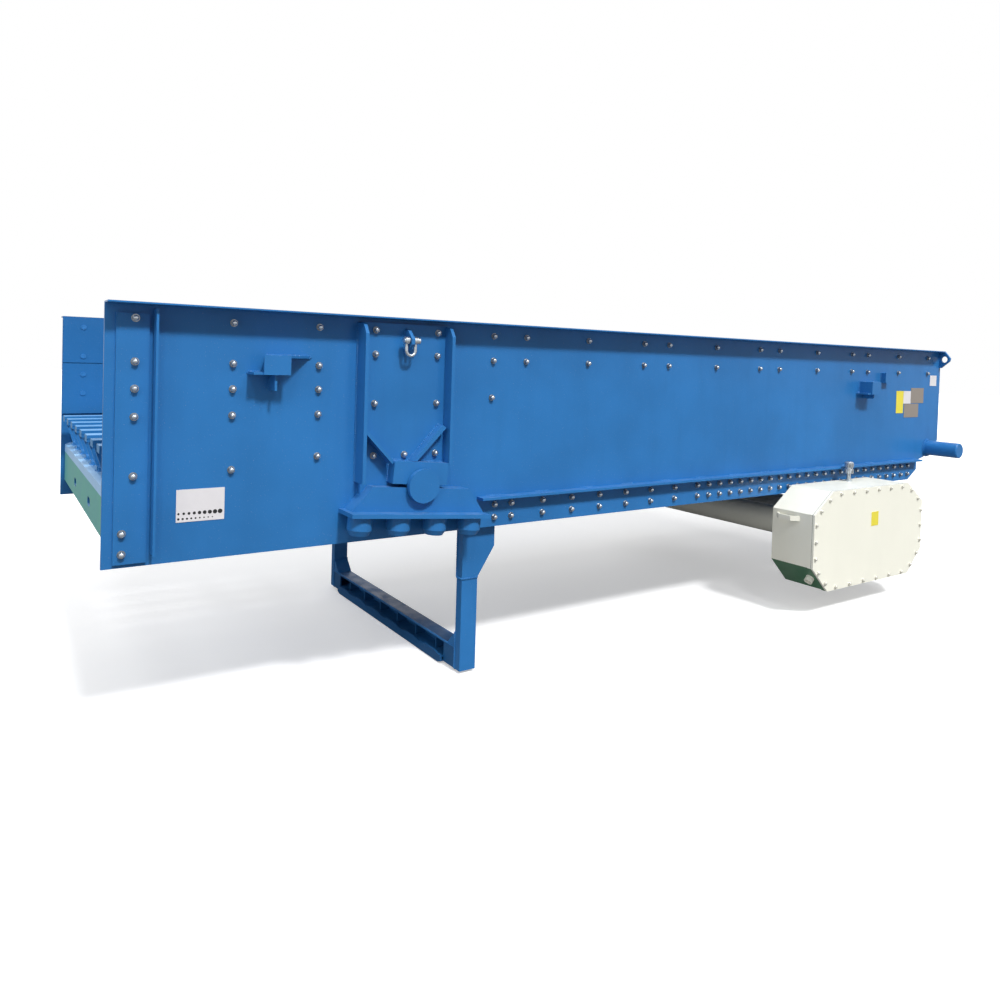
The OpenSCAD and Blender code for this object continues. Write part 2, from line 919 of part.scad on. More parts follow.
cover_bolt_places = let (o = octagon(cover_bolt_inset)) [
    for (e = [0:7]) for (i = [0:edge_bolts[e] - 1])
        [exciter_x, case_z] + o[e] + (o[(e + 1) % 8] - o[e]) * (i + 0.5) / edge_bolts[e]];

module exciter_case() {
    color(cream)
        difference() {
            union() {
                wall(case_front_y, case_back_y - case_front_y) case_outline(case_flare);
                wall(case_front_y, case_rim_t) case_outline(0);
            }
            wall(case_front_y - 1, case_rim_t + 2) case_outline(case_rim);
            wall(case_front_y + case_rim_t, case_back_y - case_front_y - case_rim_t - case_back_t)
                case_outline(case_flare + case_wall);
            wall(case_front_y - 1, case_rim_t + 2) holes(cover_bolt_places, cover_bolt_r);
            for (x = [idler_x, drive_x]) {
                rod(x, shaft_z, journal_r + 8, case_back_y - case_back_t - 1, case_back_t + 2);
            }
        }
}

module exciter_cover() {
    color(cream)
        difference() {
            wall(cover_face_y, cover_t) case_outline(0);
            wall(cover_face_y - 1, cover_t + 2) holes(cover_bolt_places, cover_bolt_r);
        }
}

module exciter_gasket() {
    color("dimgray")
        wall(cover_face_y + cover_t, gasket_t)
            difference() {
                case_outline(0);
                case_outline(case_rim);
                holes(cover_bolt_places, cover_bolt_r);
            }
}

module cover_bolts() {
    color(zinc)
        for (p = cover_bolt_places) {
            rod(p[0], p[1], cover_bolt_r, cover_face_y - 1, cover_t + gasket_t + case_rim_t - 2);
            rod(p[0], p[1], cover_bolt_r + 5, cover_face_y - 3, 3);
            translate([p[0], cover_face_y - 3, p[1]])
                rotate([90, 30, 0])
                    cylinder(r = cover_bolt_r + 4, h = 8, $fn = 6);
        }
}

handle_face_x = exciter_x - case_half_w + case_flare;
handle_reach = 40;
handle_t = 10;
handle_w = 170;
handle_leg = 42;
handle_foot = 15;
handle_h = 30;
handle_top = case_z + 154;

module exciter_handle() {
    near = -outer_y - 235;
    far = near + handle_w;
    grip_x = handle_face_x - handle_reach;
    color(cream)
        translate([0, 0, handle_top - handle_h])
            linear_extrude(handle_h)
                polygon([[handle_face_x, near], [grip_x, near + handle_leg],
                    [grip_x, far - handle_leg], [handle_face_x, far],
                    [handle_face_x, far - handle_foot], [grip_x + handle_t, far - handle_leg - 4],
                    [grip_x + handle_t, near + handle_leg + 4], [handle_face_x, near + handle_foot]]);
}

module exciter_breather() {
    base_z = case_z + case_half_h - case_flare;
    color(zinc)
        translate([exciter_x + 106, case_back_y - 65, base_z])
            rotate_extrude()
                polygon([[0, 0], [22, 0], [22, 12], [13, 12], [13, 56], [30, 56], [30, 86], [24, 90],
                    [24, 98], [30, 102], [30, 128], [22, 136], [0, 136]]);
}

module drain_boss() {
    color(cream)
        translate([exciter_x - case_half_w + low_cut[0] / 2 + case_flare * 0.7, -outer_y - 270,
                case_z - case_half_h + low_cut[1] / 2 + case_flare * 0.7])
            rotate([0, -135, 0])
                rotate_extrude()
                    polygon([[0, 0], [26, 0], [26, 34], [15, 34], [15, 12], [0, 12]]);
}

module hanger_plate() {
    hanger_x = band_close_first - 30;
    low_z = shaft_z - shaft_tube_r - 18;
    left_x = idler_x - shaft_tube_r - 22;
    right_x = drive_x + shaft_tube_r + 22;
    difference() {
        wall(-inner_y, hanger_t)
            polygon([[hanger_x, 6], [left_x, 6], [left_x, low_z + 90], [left_x + 70, low_z],
                [right_x - 70, low_z], [right_x, low_z + 90], [right_x, 6],
                [band_last_x + 16, 6], [band_last_x + 80, 60], [band_last_x + 80, band_h - 6],
                [hanger_x, band_h - 6]]);
        wall(-inner_y - 1, hanger_t + 2) holes(band_heavy_bolts, bolt_r + hole_play);
        for (x = [idler_x, drive_x]) {
            rod(x, shaft_z, shaft_tube_r, -inner_y - 1, hanger_t + 2);
        }
    }
}

module exciter_hanger_near() {
    color(blue) hanger_plate();
}

module exciter_hanger_far() {
    color(blue) mirror([0, 1, 0]) hanger_plate();
}

module shaft_tubes() {
    tube_len = end_box_y - case_back_y;
    color(cream)
        for (x = [idler_x, drive_x]) {
            difference() {
                rod(x, shaft_z, shaft_tube_r, case_back_y, tube_len);
                rod(x, shaft_z, bearing_r, case_back_y - 1, tube_len + 2);
            }
        }
}

module exciter_end_box() {
    margin = shaft_tube_r + 25;
    color(cream)
        difference() {
            translate([idler_x - margin, end_box_y, shaft_z - margin])
                cube([2 * gear_pitch_r + 2 * margin, end_box_t, 2 * margin]);
            for (x = [idler_x, drive_x]) {
                rod(x, shaft_z, bearing_r, end_box_y - 1, end_box_t + 2);
            }
        }
}

module end_caps() {
    color(cream) {
        rod(idler_x, shaft_z, bearing_r + 20, end_box_y + end_box_t, end_cap_t);
        difference() {
            rod(drive_x, shaft_z, bearing_r + 20, end_box_y + end_box_t, end_cap_t);
            rod(drive_x, shaft_z, drive_end_r + 4, end_box_y + end_box_t - 1, end_cap_t + 2);
        }
    }
}

near_bearing_y = case_back_y + 4;
far_bearing_y = end_box_y + 16;

module shaft_bearings() {
    color(steel)
        for (x = [idler_x, drive_x]) {
            for (y = [near_bearing_y, far_bearing_y]) {
                difference() {
                    rod(x, shaft_z, bearing_r, y, bearing_w);
                    rod(x, shaft_z, journal_r + fit, y - 1, bearing_w + 2);
                }
            }
        }
}

// Shaft along Y: gear seat, journals and an eccentric middle
module eccentric_shaft(x) {
    rod(x, shaft_z, gear_seat_r, gear_back_y - gear_w - 30, gear_w + 30);
    rod(x, shaft_z, journal_r, gear_back_y, -ecc_half - gear_back_y);
    rod(x, shaft_z - ecc_offset, ecc_r, -ecc_half, 2 * ecc_half);
    rod(x, shaft_z, journal_r, ecc_half, end_box_y + end_box_t - 6 - ecc_half);
}

module drive_shaft() {
    color(steel) {
        eccentric_shaft(drive_x);
        rod(drive_x, shaft_z, drive_end_r, end_box_y + end_box_t - 6, end_cap_t + 6 + drive_end_len);
    }
}

module idler_shaft() {
    color(steel) eccentric_shaft(idler_x);
}

// Involute teeth: half of a tooth's angle at radius r, in degrees
pressure = 20;
backlash = 0.8;
base_r = gear_pitch_r * cos(pressure);

function involute(a) = tan(a) * 180 / PI - a;

function half_tooth(r) = 90 / gear_teeth - backlash / 2 / gear_pitch_r * 180 / PI
    + involute(pressure) - involute(acos(min(1, base_r / r)));

tooth_radii = [for (s = [-1.2, -0.8, -0.4, 0, 0.4, 0.8, 0.95]) gear_pitch_r + s * gear_module];

function gear_points(turn) = [for (i = [0:gear_teeth - 1])
    let (mid = turn + i * 360 / gear_teeth)
    each concat(
        [for (r = tooth_radii) r * [cos(mid - half_tooth(r)), sin(mid - half_tooth(r))]],
        [for (j = [len(tooth_radii) - 1:-1:0])
            let (r = tooth_radii[j]) r * [cos(mid + half_tooth(r)), sin(mid + half_tooth(r))]])];

module timing_gear(x, turn) {
    wall(gear_back_y - gear_w, gear_w)
        translate([x, shaft_z])
            difference() {
                polygon(gear_points(turn));
                circle(gear_seat_r);
                for (i = [0:5]) {
                    rotate(i * 60) translate([gear_pitch_r * 0.55, 0]) circle(42);
                }
            }
}

module drive_gear() {
    color(steel) timing_gear(drive_x, 180);
}

module idler_gear() {
    color(steel) timing_gear(idler_x, 180 / gear_teeth);
}

// ================= bolts of the side plates =================

nut_r = bolt_r + 5.5;
washer_r = bolt_r + 7;

// A trough bolt: washer and nut outside, low round head inside
module side_bolt(p, extra_out, extra_in) {
    face_y = -outer_y - extra_out;
    back_y = -inner_y + extra_in;
    rod(p[0], p[1], washer_r, face_y - 3, 3);
    translate([p[0], face_y - 3, p[1]])
        rotate([90, 30, 0])
            cylinder(r = nut_r, h = 11, $fn = 6);
    rod(p[0], p[1], bolt_r, face_y - 18, back_y - face_y + 18);
    rod(p[0], p[1], nut_r, back_y, 4);
}

module bolt_row(places, extra_out, extra_in) {
    for (p = places) {
        side_bolt(p, extra_out, extra_in);
    }
}

function lined(p) = p[1] > liner_low_z ? liner_t : 0;

module side_bolts() {
    for (p = concat(top_bolts, liner_bolts)) {
        side_bolt(p, 0, lined(p));
    }
    for (p = concat(doubler_bolts, corner_bolts)) {
        side_bolt(p, doubler_t, lined(p));
    }
    for (p = panel_bolts) {
        side_bolt(p, panel_t, lined(p));
    }
    bolt_row(band_light_bolts, 0, 0);
    bolt_row(band_heavy_bolts, 0, hanger_t);
}

module side_bolts_near() {
    color(zinc) side_bolts();
}

module side_bolts_far() {
    color(zinc) mirror([0, 1, 0]) side_bolts();
}

// ================= plates with no lettering =================

plate_t = 2;

module side_label(x0, z0, x1, z1) {
    wall(-outer_y - plate_t, plate_t) translate([x0, z0]) square([x1 - x0, z1 - z0]);
}

module gauge_plate() {
    color("gainsboro") side_label(260, 154, 443, 282);
}

module yellow_plates() {
    color("gold") {
        side_label(trough_len - 627, 516, trough_len - 530, 684);
        wall(cover_face_y - plate_t, plate_t)
            translate([exciter_x - 4, -195]) square([80, 92]);
    }
}

module white_plates() {
    color("white") {
        side_label(trough_len - 528, 588, trough_len - 426, 684);
        side_label(trough_len - 150, 726, trough_len - 54, 808);
    }
}

module grey_plates() {
    color("gray") {
        side_label(trough_len - 424, 591, trough_len - 240, 708);
        side_label(trough_len - 514, 482, trough_len - 310, 586);
    }
}

in_frame() side_plate_near();
in_frame() side_plate_far();
in_frame() lower_stiffeners();
in_frame() end_doublers();
in_frame() end_ribs();
in_frame() upper_liners();
in_frame() lower_liners();
in_frame() rear_wall();
in_frame() feed_pan();
in_frame() pan_webs();
in_frame() pan_step();
in_frame() discharge_beam();
in_frame() deck_beams();
in_frame() grizzly_bars();
in_frame() bracket_panel_near();
in_frame() bracket_panel_far();
in_frame() bracket_ribs();
in_frame() bracket_gussets();
in_frame() trunnion_block_near();
in_frame() trunnion_block_far();
in_frame() spring_box_near();
in_frame() spring_box_far();
in_frame() seat_plate_near();
in_frame() seat_plate_far();
in_frame() spring_locators();
in_frame() front_cross_tube();
in_frame() rear_cross_tube();
in_frame() tube_end_caps();
in_frame() tube_collars();
in_frame() lifting_eyes();
in_frame() shackle_near();
in_frame() shackle_far();
in_frame() rear_lugs();
in_frame() side_brackets();
in_frame() frame_posts();
in_frame() frame_gussets();
in_frame() frame_beam();
in_frame() exciter_hanger_near();
in_frame() exciter_hanger_far();
in_frame() side_bolts_near();
in_frame() side_bolts_far();
in_frame() gauge_plate();
in_frame() yellow_plates();
in_frame() white_plates();
in_frame() grey_plates();
in_frame() exciter_case();
in_frame() exciter_cover();
in_frame() exciter_gasket();
in_frame() cover_bolts();
in_frame() exciter_handle();
in_frame() exciter_breather();
in_frame() drain_boss();
in_frame() shaft_tubes();
in_frame() exciter_end_box();
in_frame() end_caps();
in_frame() drive_shaft();
in_frame() idler_shaft();
in_frame() drive_gear();
in_frame() idler_gear();
in_frame() shaft_bearings();
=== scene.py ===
"""Looks of a linear vibratory feeder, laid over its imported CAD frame.

Every length is in metres, in the frame's own axes: X runs along the trough from the
discharge end to the feed end, -Y is the side with the exciter case, and Z is up.
"""

import math

import bpy
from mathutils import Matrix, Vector


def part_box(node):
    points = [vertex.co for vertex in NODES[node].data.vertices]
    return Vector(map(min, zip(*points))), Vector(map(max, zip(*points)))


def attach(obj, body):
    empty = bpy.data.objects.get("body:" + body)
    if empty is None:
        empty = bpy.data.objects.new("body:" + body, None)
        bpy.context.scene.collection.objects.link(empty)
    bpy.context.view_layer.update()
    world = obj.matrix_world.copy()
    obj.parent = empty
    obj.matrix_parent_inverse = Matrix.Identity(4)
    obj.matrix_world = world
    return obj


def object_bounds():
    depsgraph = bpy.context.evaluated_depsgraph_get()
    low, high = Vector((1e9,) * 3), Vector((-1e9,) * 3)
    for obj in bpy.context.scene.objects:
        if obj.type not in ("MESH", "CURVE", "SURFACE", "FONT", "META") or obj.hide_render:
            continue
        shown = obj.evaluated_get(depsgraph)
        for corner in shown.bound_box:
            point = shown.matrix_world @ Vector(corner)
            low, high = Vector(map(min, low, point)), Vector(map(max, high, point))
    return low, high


bl_info = {
    "name": "Vibratory feeder looks",
    "version": (1, 0, 0),
    "blender": (4, 5, 0),
    "location": "View3D > Sidebar > Feeder",
    "description": "Paints the feeder's frame and adds its welds, fittings and stage",
    "category": "Object",
}

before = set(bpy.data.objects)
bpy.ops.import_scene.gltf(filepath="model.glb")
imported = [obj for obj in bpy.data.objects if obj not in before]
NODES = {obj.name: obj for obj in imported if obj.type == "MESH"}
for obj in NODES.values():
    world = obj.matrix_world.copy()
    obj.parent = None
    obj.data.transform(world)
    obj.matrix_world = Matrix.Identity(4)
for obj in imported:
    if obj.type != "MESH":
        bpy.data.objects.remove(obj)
CAD_BOX = [list(corner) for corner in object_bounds()]

# Distance of the outer faces of the side plates and bracket panels from the middle
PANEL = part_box("bracket_panel_near")
PLATE_FACE = -PANEL[1][1]
PANEL_FACE = -PANEL[0][1]
PLATE_T = 0.012

# Two faces this close together touch, and are welded where they meet
TOUCH = 0.0002

# Share of a rounded nut end's height that is sunk into its bolt
DOME_SINK = 0.35

# Height of the pale band painted along the top of the discharge beam's front, as a painted
# highlight
HIGHLIGHT_HEIGHT = 0.049

# Dust as it lies on the blue paint and on the cream paint
DUST = (0.55, 0.52, 0.47)
PALE_DUST = (0.97, 0.97, 0.95)

# The floor's size, and its gap below the lowest point of the feeder
FLOOR_SIZE = 120
FLOOR_GAP = 0.004


# ---------------------------------------------------------------- settings


class FeederPaint(bpy.types.PropertyGroup):
    """Colours of the feeder's finishes"""

    blue: bpy.props.FloatVectorProperty(
        name="Trough blue",
        description="Gloss paint on the trough and everything bolted or welded to it",
        subtype="COLOR",
        size=3,
        min=0,
        max=1,
        default=(0.026, 0.168, 0.440),
    )
    cream: bpy.props.FloatVectorProperty(
        name="Exciter cream",
        description="Gloss paint on the exciter case and its shaft tubes",
        subtype="COLOR",
        size=3,
        min=0,
        max=1,
        default=(0.90, 0.89, 0.78),
    )
    zinc: bpy.props.FloatVectorProperty(
        name="Zinc plating",
        description="Plating on bolts, washers and shackles",
        subtype="COLOR",
        size=3,
        min=0,
        max=1,
        default=(0.60, 0.65, 0.70),
    )
    steel: bpy.props.FloatVectorProperty(
        name="Machined steel",
        description="Bare steel of shafts, gears and bearings",
        subtype="COLOR",
        size=3,
        min=0,
        max=1,
        default=(0.56, 0.57, 0.58),
    )
    label_yellow: bpy.props.FloatVectorProperty(
        name="Yellow plate",
        description="Face of the yellow plates",
        subtype="COLOR",
        size=3,
        min=0,
        max=1,
        default=(0.81, 0.70, 0.06),
    )
    label_white: bpy.props.FloatVectorProperty(
        name="White plate",
        description="Face of the white plates and of the gauge plate",
        subtype="COLOR",
        size=3,
        min=0,
        max=1,
        default=(0.76, 0.74, 0.76),
    )
    label_grey: bpy.props.FloatVectorProperty(
        name="Grey plate",
        description="Face of the grey plates",
        subtype="COLOR",
        size=3,
        min=0,
        max=1,
        default=(0.27, 0.235, 0.205),
    )


class FeederWork(bpy.types.PropertyGroup):
    """Sizes of the workmanship on the feeder"""

    weld_radius: bpy.props.FloatProperty(
        name="Weld size",
        description="Radius of a weld bead",
        default=0.006,
        min=0.003,
        max=0.012,
        unit="LENGTH",
    )
    weld_step: bpy.props.FloatProperty(
        name="Weld ripple",
        description="Distance between two ripples of a weld bead",
        default=0.009,
        min=0.005,
        max=0.02,
        unit="LENGTH",
    )
    dust: bpy.props.FloatProperty(
        name="Dust",
        description="How much dust lies on faces that look up",
        default=0.16,
        min=0,
        max=1,
        subtype="FACTOR",
    )


class FeederStage(bpy.types.PropertyGroup):
    """Camera, lamps and floor"""

    eye: bpy.props.FloatVectorProperty(
        name="Camera place",
        description="Where the camera stands",
        subtype="TRANSLATION",
        size=3,
        default=(-0.3944, -4.0703, 0.6654),
    )
    turn: bpy.props.FloatVectorProperty(
        name="Camera turn",
        description="The camera's rotation about X, Y and Z",
        subtype="EULER",
        unit="ROTATION",
        size=3,
        default=(
            math.radians(88.53936),
            math.radians(-1.69945),
            math.radians(-33.82667),
        ),
    )
    lens: bpy.props.FloatProperty(
        name="Lens",
        description="Focal length on a 36 mm wide sensor",
        default=27.835,
        min=10,
        max=200,
        unit="CAMERA",
    )
    rise: bpy.props.FloatProperty(
        name="Shift",
        description="Upward shift of the view, as a share of the picture's side",
        default=-0.1191,
        min=-0.5,
        max=0.5,
    )
    floor: bpy.props.FloatVectorProperty(
        name="Floor",
        description="Colour of the floor",
        subtype="COLOR",
        size=3,
        min=0,
        max=1,
        default=(0.80, 0.80, 0.80),
    )
    sky: bpy.props.FloatProperty(
        name="Room light",
        description="Strength of the even light that comes from all round",
        default=0.13,
        min=0,
        max=3,
    )
    key: bpy.props.FloatProperty(
        name="Main lamp",
        description="Strength of the lamp high on the exciter's side",
        default=2.55,
        min=0,
        max=10,
    )
    fill: bpy.props.FloatProperty(
        name="Fill lamps",
        description="Strength of the soft lamps at the discharge end and behind",
        default=0.7,
        min=0,
        max=10,
    )


def paint():
    return bpy.context.scene.feeder_paint


def work():
    return bpy.context.scene.feeder_work


# ---------------------------------------------------------------- shader sums


class Amount:
    """One socket of a finish, which can stand in a sum"""

    def __init__(self, finish, socket):
        self.finish = finish
        self.socket = socket

    def _sum(self, operation, first, second=0.0):
        return self.finish.add(
            "ShaderNodeMath", {"operation": operation}, {0: first, 1: second}
        )

    def __add__(self, other):
        return self._sum("ADD", self, other)

    __radd__ = __add__

    def __sub__(self, other):
        return self._sum("SUBTRACT", self, other)

    def __rsub__(self, other):
        return self._sum("SUBTRACT", other, self)

    def __mul__(self, other):
        return self._sum("MULTIPLY", self, other)

    __rmul__ = __mul__

    def span(self):
        """Its distance from zero"""
        return self._sum("ABSOLUTE", self)

    def rise(self, low, high):
        """0 below low, 1 above high, and a soft step between"""
        return self.finish.add(
            "ShaderNodeMapRange",
            {"interpolation_type": "SMOOTHSTEP"},
            {"Value": self, "From Min": low, "From Max": high},
        )


class Finish:
    """A procedural material while it is put together"""

    def __init__(self, name, **fixed):
        self.material = bpy.data.materials.new(name)
        self.material.use_nodes = True
        self.tree = self.material.node_tree
        self.shader = self.tree.nodes["Principled BSDF"]
        for key, value in fixed.items():
            self.shader.inputs[key.replace("_", " ")].default_value = value
        self.place = self.add("ShaderNodeTexCoord", {}, {}, "Object")

    def add(self, kind, settings, sockets, output=0):
        """Adds a node, sets it, then fills or links its sockets"""
        made = self.tree.nodes.new(kind)
        for key, value in settings.items():
            setattr(made, key, value)
        for key, value in sockets.items():
            if isinstance(value, Amount):
                self.tree.links.new(value.socket, made.inputs[key])
            else:
                made.inputs[key].default_value = value
        return Amount(self, made.outputs[output])

    def link(self, value, socket):
        """Feeds a socket of the finish's own shader"""
        self.tree.links.new(value.socket, self.shader.inputs[socket])

    def grain(self, scale, detail=3.0, roughness=0.5, stretch=None):
        """Noise with about `scale` grains a metre, or drawn out by `stretch`"""
        place = self.place
        if stretch:
            place = self.add(
                "ShaderNodeMapping", {}, {"Vector": place, "Scale": stretch}
            )
        return self.add(
            "ShaderNodeTexNoise",
            {},
            {
                "Vector": place,
                "Scale": scale,
                "Detail": detail,
                "Roughness": roughness,
            },
        )

    def blend(self, share, first, second):
        """Mixes two colours"""

        def full(colour):
            return colour if isinstance(colour, Amount) else (*colour, 1.0)

        node = self.tree.nodes.new("ShaderNodeMix")
        node.data_type = "RGBA"
        for key, value in ((0, share), (6, full(first)), (7, full(second))):
            if isinstance(value, Amount):
                self.tree.links.new(value.socket, node.inputs[key])
            else:
                node.inputs[key].default_value = value
        return Amount(self, node.outputs[2])

    def bump(self, height, distance, strength):
        """Raises the surface by a height pattern"""
        self.link(
            self.add(
                "ShaderNodeBump",
                {},
                {"Height": height, "Distance": distance, "Strength": strength},
            ),
            "Normal",
        )

    def part(self, vector, axis):
        """One axis of a vector"""
        return self.add("ShaderNodeSeparateXYZ", {}, {"Vector": vector}, axis)

    def normal(self, axis):
        """How far the surface faces along an axis"""
        return self.part(self.add("ShaderNodeNewGeometry", {}, {}, "Normal"), axis)

    def facing_up(self):
        """1 on faces that look up, 0 on walls and undersides"""
        return self.normal("Z").rise(0.5, 0.95)


def shade(colour, factor):
    """A colour made darker or brighter"""
    return tuple(min(1.0, part * factor) for part in colour)


def toward(colour, other, share):
    """A colour part of the way to another"""
    return tuple(a + (b - a) * share for a, b in zip(colour, other))


def gloss_paint(
    name, colour, dust, gloss=0.30, fade=0.10, streak=0.25, settled=DUST, painted_floor_reflection=None
):
    """Sprayed gloss paint with orange peel, faint clouds, runs and dust, and where asked a
    painted reflection of a green floor on faces that look down and forward
    """
    finish = Finish(name, IOR=1.27, Coat_Roughness=0.10)
    clouds = finish.grain(1.6, 4.0, 0.55)
    runs = finish.grain(9.0, 5.0, 0.6, stretch=(1.0, 1.0, 0.16))
    specks = finish.grain(210.0, 2.0, 0.6).rise(0.66, 0.76)
    peel = finish.grain(95.0, 2.0, 0.5)
    waves = finish.grain(6.0, 2.0, 0.5)
    base = finish.blend(
        clouds.rise(0.30, 0.72), shade(colour, 1.0 - fade), shade(colour, 1.0 + fade)
    )
    base = finish.blend(runs.rise(0.45, 0.75) * streak, base, shade(colour, 0.80))
    base = finish.blend(
        specks * 0.30, base, toward(colour, (0.62, 0.60, 0.55), 0.5)
    )
    lying = finish.facing_up() * finish.grain(14.0, 6.0, 0.7).rise(0.35, 0.75)
    base = finish.blend(lying * dust, base, toward(colour, settled, 0.8))
    # Painted reflection: a green floor mirrored in faces that look down and forward
    if painted_floor_reflection:
        below = (0.0 - finish.normal("Z")).rise(0.4, 0.6)
        forward = (0.0 - finish.normal("X")).rise(0.4, 0.6)
        base = finish.blend(below * forward * (0.7 + clouds * 0.4), base, painted_floor_reflection)
    finish.link(base, "Base Color")
    finish.link(gloss + runs * 0.10 + lying * 0.25 + specks * 0.1, "Roughness")
    finish.link(0.10 - lying * 0.09, "Coat Weight")
    finish.bump(peel * 0.6 + waves * 2.0, 0.0010, 0.35)
    return finish.material


def plated(name, colour, rough=0.17, metal=0.9):
    """Zinc plating: bright, a little cloudy, duller in patches"""
    finish = Finish(name)
    clouds = finish.grain(45.0, 4.0, 0.6)
    scratches = finish.grain(260.0, 3.0, 0.6, stretch=(1.0, 1.0, 0.2))
    base = finish.blend(clouds.rise(0.35, 0.7), shade(colour, 0.82), colour)
    finish.link(base, "Base Color")
    finish.link(metal - clouds.rise(0.6, 0.8) * 0.25, "Metallic")
    finish.link(rough + clouds * 0.12 + scratches * 0.08, "Roughness")
    finish.bump(scratches, 0.0003, 0.3)
    return finish.material


def bolt_finish(name, zinc, blue):
    """Zinc nuts outside the plates, heads painted with the trough inside"""
    finish = Finish(name)
    outside = finish.part(finish.place, "Y").span().rise(
        PLATE_FACE - PLATE_T, PLATE_FACE - PLATE_T / 2
    )
    clouds = finish.grain(60.0, 4.0, 0.6)
    wear = finish.grain(190.0, 3.0, 0.6).rise(0.45, 0.7)
    plating = finish.blend(clouds.rise(0.35, 0.7), shade(zinc, 0.78), zinc)
    painted = finish.blend(wear * 0.4, blue, shade(blue, 1.5))
    finish.link(finish.blend(outside, painted, plating), "Base Color")
    finish.link(outside * 0.9, "Metallic")
    finish.link(0.26 + clouds * 0.10 + wear * 0.08, "Roughness")
    finish.bump(wear, 0.0004, 0.3)
    return finish.material


def knurled(name, colour):
    """Plated brass with fine upright grooves"""
    finish = Finish(name, Metallic=0.9)
    grooves = finish.grain(330.0, 1.0, 0.4, stretch=(1.0, 1.0, 0.08)).rise(0.4, 0.6)
    # The grooves are painted darker, as painted shade in them
    finish.link(finish.blend(grooves, shade(colour, 0.5), colour), "Base Color")
    finish.link(0.22 + grooves * 0.2, "Roughness")
    finish.bump(grooves, 0.0012, 0.6)
    return finish.material


def beam_paint(name, colour, top, painted_front_reflection, painted_highlight=None, edge=0.0):
    """Blue paint, paler on top as painted light, with a painted reflection on the face
    that looks forward

    Above `edge` that face is painted pale, as a painted highlight along its top.
    """
    finish = Finish(name, IOR=1.38, Coat_Roughness=0.15, Coat_Weight=0.15)
    front = (0.0 - finish.normal("X")).rise(0.5, 0.9)
    patches = finish.grain(5.0, 5.0, 0.6)
    peel = finish.grain(95.0, 2.0, 0.5)
    base = finish.blend(
        patches.rise(0.3, 0.7), shade(colour, 0.92), shade(colour, 1.08)
    )
    # Painted light: faces that look up are paler, as lit from above
    base = finish.blend(finish.facing_up() * (0.6 + patches * 0.6), base, top)
    # Painted highlight: a pale band along the top of the face that looks forward
    if painted_highlight:
        above = finish.part(finish.place, "Z").rise(edge - 0.001, edge + 0.001)
        base = finish.blend(front * above * (0.75 + patches * 0.4), base, painted_highlight)
        front = front * (1.0 - above)
    # Painted reflection on the face that looks forward: green on the beam, paler blue on
    # the bars
    share = front * (0.55 + patches * 0.5)
    finish.link(finish.blend(share, base, painted_front_reflection), "Base Color")
    finish.link(0.32 + front * 0.2 + patches * 0.1, "Roughness")
    finish.bump(peel * 0.6 + patches, 0.0010, 0.35)
    return finish.material


def machined(name, colour):
    """Turned and ground steel with a film of oil"""
    finish = Finish(name, Metallic=1.0)
    rings = finish.grain(420.0, 2.0, 0.5, stretch=(0.15, 1.0, 0.15))
    oil = finish.grain(11.0, 4.0, 0.6).rise(0.45, 0.7)
    base = finish.blend(oil, colour, toward(colour, (0.30, 0.22, 0.10), 0.35))
    finish.link(base, "Base Color")
    finish.link(0.24 + rings * 0.16 - oil * 0.08, "Roughness")
    finish.bump(rings, 0.0002, 0.4)
    return finish.material


def sheet_face(name, colour, sheen=0.38):
    """A printed sheet on a thin plate: even, slightly scuffed"""
    finish = Finish(name, IOR=1.46)
    scuffs = finish.grain(30.0, 5.0, 0.65).rise(0.5, 0.75)
    grime = finish.grain(7.0, 4.0, 0.6).rise(0.4, 0.8)
    base = finish.blend(grime * 0.4, colour, shade(colour, 0.86))
    base = finish.blend(scuffs * 0.2, base, toward(colour, (0.5, 0.5, 0.5), 0.4))
    finish.link(base, "Base Color")
    finish.link(sheen + scuffs * 0.2, "Roughness")
    finish.bump(scuffs, 0.0002, 0.3)
    return finish.material


def rubbery(name, colour):
    """Gasket sheet, dull and speckled"""
    finish = Finish(name)
    grains = finish.grain(600.0, 2.0, 0.6)
    base = finish.blend(grains, shade(colour, 0.8), shade(colour, 1.3))
    finish.link(base, "Base Color")
    finish.link(0.75 + grains * 0.15, "Roughness")
    finish.bump(grains, 0.0003, 0.4)
    return finish.material


def floor_finish(name, colour):
    """Pale floor that the camera sees as white, but which keeps the shadow

    `unseen` is its shade for all other light, and `glow` its own light for the camera.
    """
    unseen, glow = 0.27, 0.42
    finish = Finish(name, Roughness=0.9, Emission_Color=(1, 1, 1, 1))
    clouds = finish.grain(0.5, 3.0, 0.5)
    seen = finish.add("ShaderNodeLightPath", {}, {}, "Is Camera Ray")
    pale = finish.blend(clouds, shade(colour, 0.97), colour)
    finish.link(finish.blend(seen, shade(colour, unseen), pale), "Base Color")
    finish.link(seen * glow, "Emission Strength")
    return finish.material


FINISHES = {}


